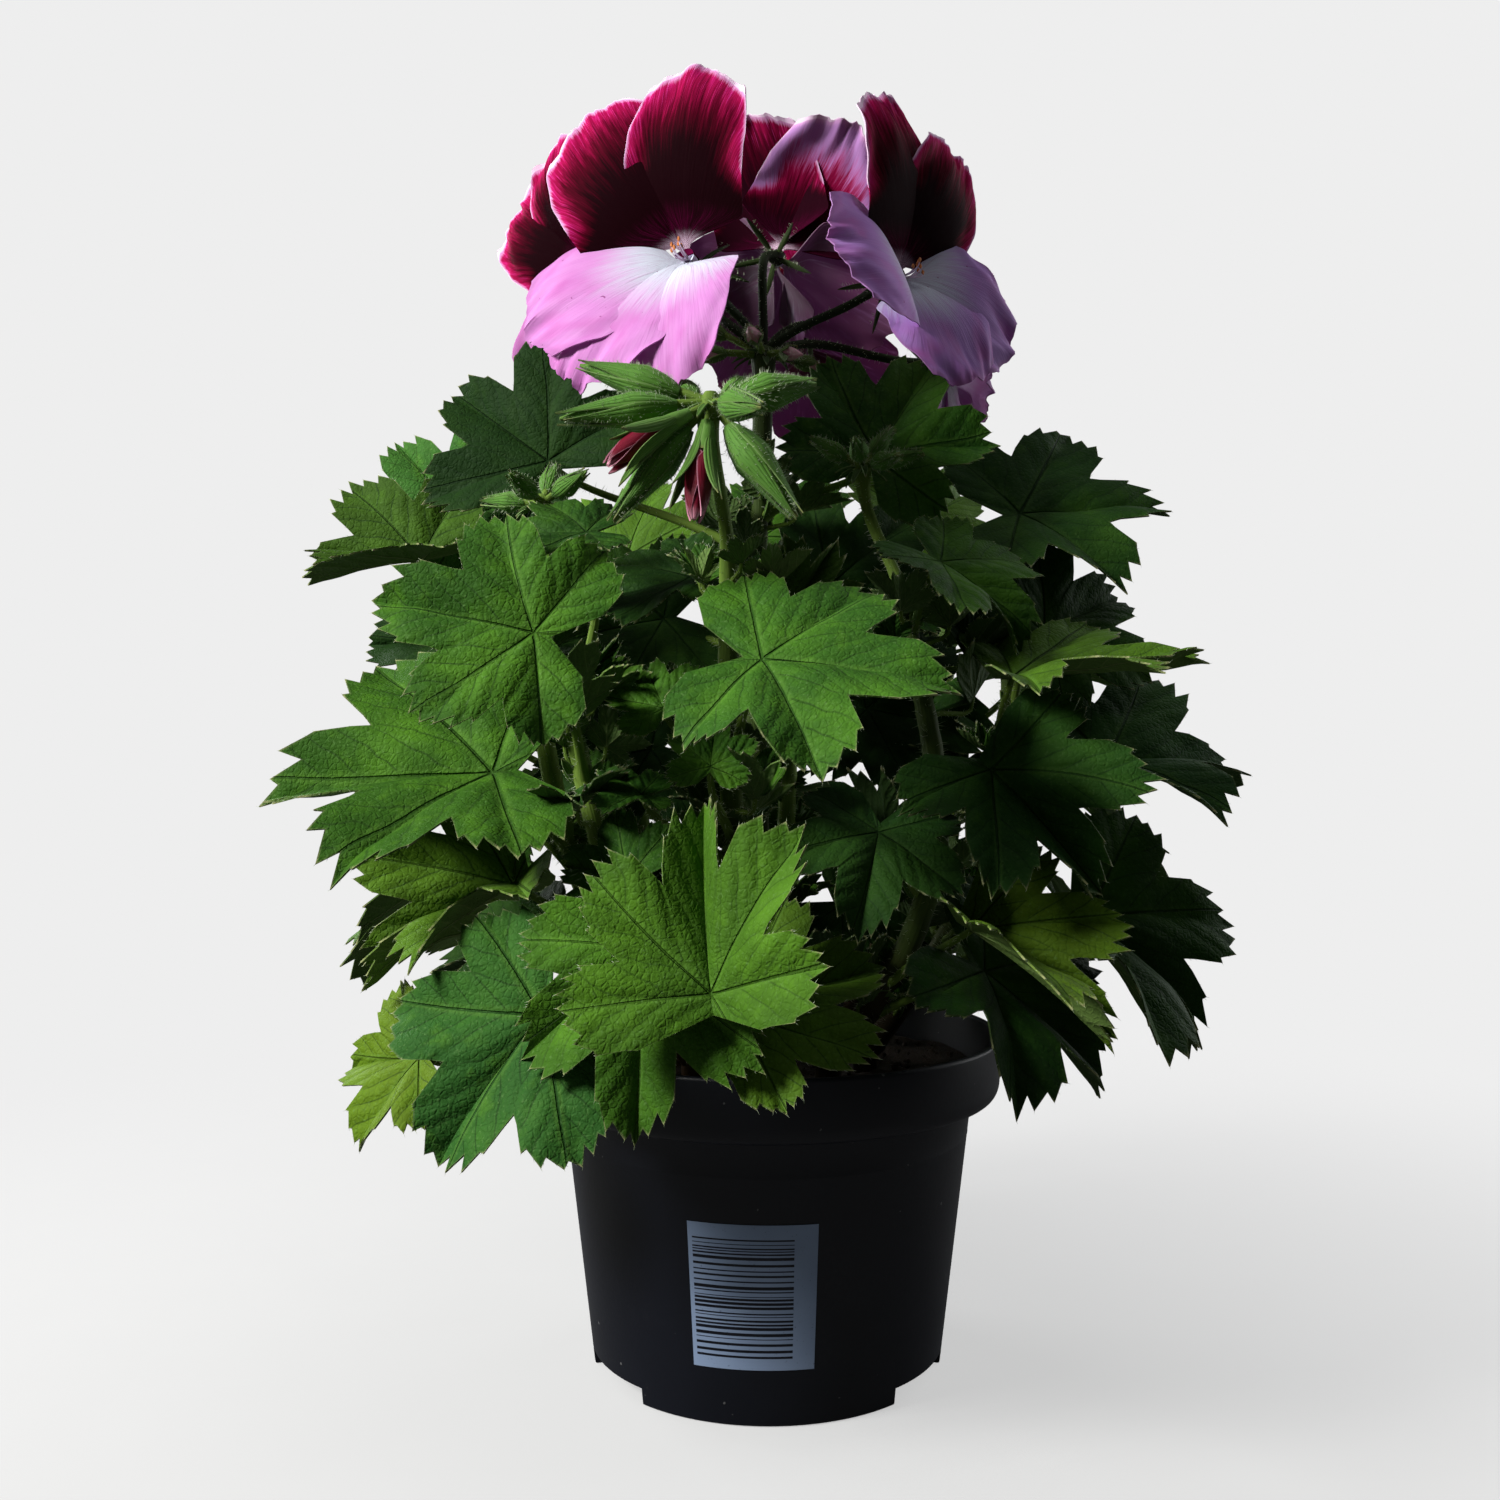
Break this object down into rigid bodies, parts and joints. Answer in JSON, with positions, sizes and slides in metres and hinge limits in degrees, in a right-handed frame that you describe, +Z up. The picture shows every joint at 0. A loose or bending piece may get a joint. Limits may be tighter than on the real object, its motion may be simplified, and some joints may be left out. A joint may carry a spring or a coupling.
{
  "type": "potted regal pelargonium",
  "caption": "Bushy flowering house plant with lobed toothed leaves and crimson and mauve blooms, standing in a dark round nursery pot.",
  "frame": {"origin": "on the pot's axis, at the surface that its feet stand on", "axes": "+Z up through the plant, -Y towards the front with the large flower and the marked panel of the pot"},
  "size_m": [0.2583, 0.2375, 0.3539],
  "materials": {
    "pot": "dark satin plastic",
    "soil": "crumbled dark potting soil",
    "leaf": "soft hairy green leaf",
    "stalk": "hairy green stalks and buds",
    "dark_petal": "velvety crimson petal with a near-black centre",
    "pale_petal": "soft mauve-pink petal with a white throat"
  },
  "bodies": {
    "root": {"pot": "pot", "soil": "soil", "leafy_stem_middle": "leaf", "leafy_stem_front": "leaf", "leafy_stem_front_left": "leaf", "leafy_stem_left": "leaf", "leafy_stem_back_left": "leaf", "leafy_stem_back": "leaf", "leafy_stem_back_right": "leaf", "leafy_stem_right": "leaf", "leafy_stem_front_right": "leaf", "flower_head_stalks": "stalk", "upper_petals_front_left": "dark_petal", "lower_petals_front_left": "pale_petal", "upper_petals_left": "dark_petal", "lower_petals_left": "pale_petal", "upper_petals_top": "dark_petal", "lower_petals_top": "pale_petal", "upper_petals_front_right": "dark_petal", "lower_petals_front_right": "pale_petal", "upper_petals_right": "dark_petal", "lower_petals_right": "pale_petal", "upper_petals_back": "dark_petal", "lower_petals_back": "pale_petal", "bud_head_front": "stalk", "bud_head_right": "stalk", "bud_head_left": "stalk", "bud_petals_front_1": "dark_petal", "bud_petals_front_2": "dark_petal"}
  },
  "joints": []
}
